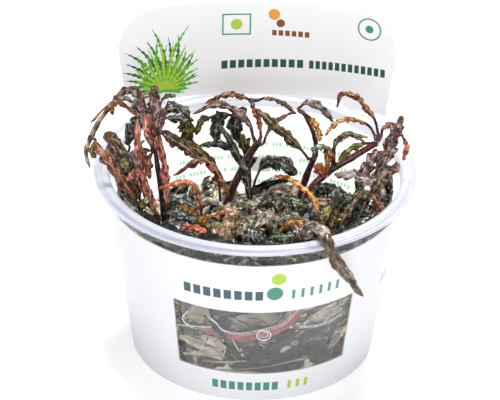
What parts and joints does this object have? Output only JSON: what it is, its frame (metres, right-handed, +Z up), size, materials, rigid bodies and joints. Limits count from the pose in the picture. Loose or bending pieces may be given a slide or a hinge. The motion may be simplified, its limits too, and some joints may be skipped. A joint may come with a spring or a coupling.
{
  "type": "tissue culture cup of water plants",
  "caption": "Clear tapered cup of tissue-grown water plants in a white card sleeve with a window and a tall back; long lobed leaves stand over the rim.",
  "frame": {"origin": "middle of the underside, on the surface that the cup stands on", "axes": "+Z up; -Y towards the sleeve's window, +Y towards its tall back; +X to the right seen from the front"},
  "size_m": [0.108, 0.1064, 0.0966],
  "materials": {
    "clear_plastic": "clear, moulded",
    "white_card": "smooth coated card",
    "clear_jelly": "clear, wet",
    "maroon_stem": "smooth living stem",
    "bronze_leaf": "living leaf, slightly glossy",
    "dark_leaf": "living leaf, slightly glossy",
    "grey_leaf": "living leaf, slightly glossy",
    "olive_leaf": "living leaf, slightly glossy",
    "rust_leaf": "living leaf, slightly glossy",
    "coral_leaf": "living leaf, slightly glossy",
    "pink_leaf": "living leaf, slightly glossy",
    "orange_leaf": "living leaf, slightly glossy",
    "green_leaf": "living leaf, slightly glossy"
  },
  "bodies": {
    "root": {"clear_tub": "clear_plastic", "card_sleeve": "white_card", "growing_jelly": "clear_jelly", "leaf_bed": "dark_leaf", "stem_left": "maroon_stem", "stem_centre": "maroon_stem", "stem_inner_right": "maroon_stem", "stem_right": "maroon_stem", "leaf_left_arch": "bronze_leaf", "leaf_left_upright": "bronze_leaf", "leaf_left_red": "rust_leaf", "leaf_left_drooping": "grey_leaf", "leaf_left_broad": "grey_leaf", "leaf_left_brown": "rust_leaf", "leaf_left_pink": "pink_leaf", "leaf_left_rose": "pink_leaf", "leaf_left_green": "dark_leaf", "leaf_bridge_dark": "dark_leaf", "leaf_hanging_olive": "olive_leaf", "leaf_long_olive": "olive_leaf", "leaf_red_arch": "rust_leaf", "leaf_coral_arch": "coral_leaf", "leaf_red_lobed": "coral_leaf", "leaf_centre_arch": "bronze_leaf", "leaf_centre_orange": "rust_leaf", "leaf_centre_twisted": "coral_leaf", "leaf_long_dark": "dark_leaf", "leaf_glossy_drooping": "dark_leaf", "leaf_glossy_side": "dark_leaf", "leaf_small_olive": "olive_leaf", "leaf_back_olive": "olive_leaf", "leaf_dark_level": "dark_leaf", "leaf_bronze_bow": "bronze_leaf", "leaf_large_bronze": "bronze_leaf", "leaf_side_stalk": "bronze_leaf", "leaf_dark_low_bow": "dark_leaf", "leaf_grey_bow": "grey_leaf", "leaf_orange_lobed": "orange_leaf", "leaf_orange_wave": "orange_leaf", "leaf_grey_wing": "grey_leaf", "leaf_pale_fold": "green_leaf", "leaf_olive_band": "olive_leaf", "leaf_right_curled": "rust_leaf", "leaf_right_brown": "rust_leaf", "leaf_right_upright": "grey_leaf", "leaf_right_lobed": "bronze_leaf", "leaf_right_hanging": "coral_leaf", "leaf_right_tan": "grey_leaf", "leaf_right_pale": "grey_leaf", "leaf_right_rust": "rust_leaf", "leaf_right_long_back": "grey_leaf", "leaf_right_long_front": "dark_leaf", "leaf_coral_tip": "coral_leaf", "leaf_pale_long": "grey_leaf", "leaf_veined_left": "grey_leaf", "leaf_veined_right": "grey_leaf", "leaf_yellow_lobed": "orange_leaf", "leaf_crumpled_tan": "grey_leaf", "leaf_yellow_olive": "olive_leaf", "leaf_over_rim": "grey_leaf"}
  },
  "joints": []
}
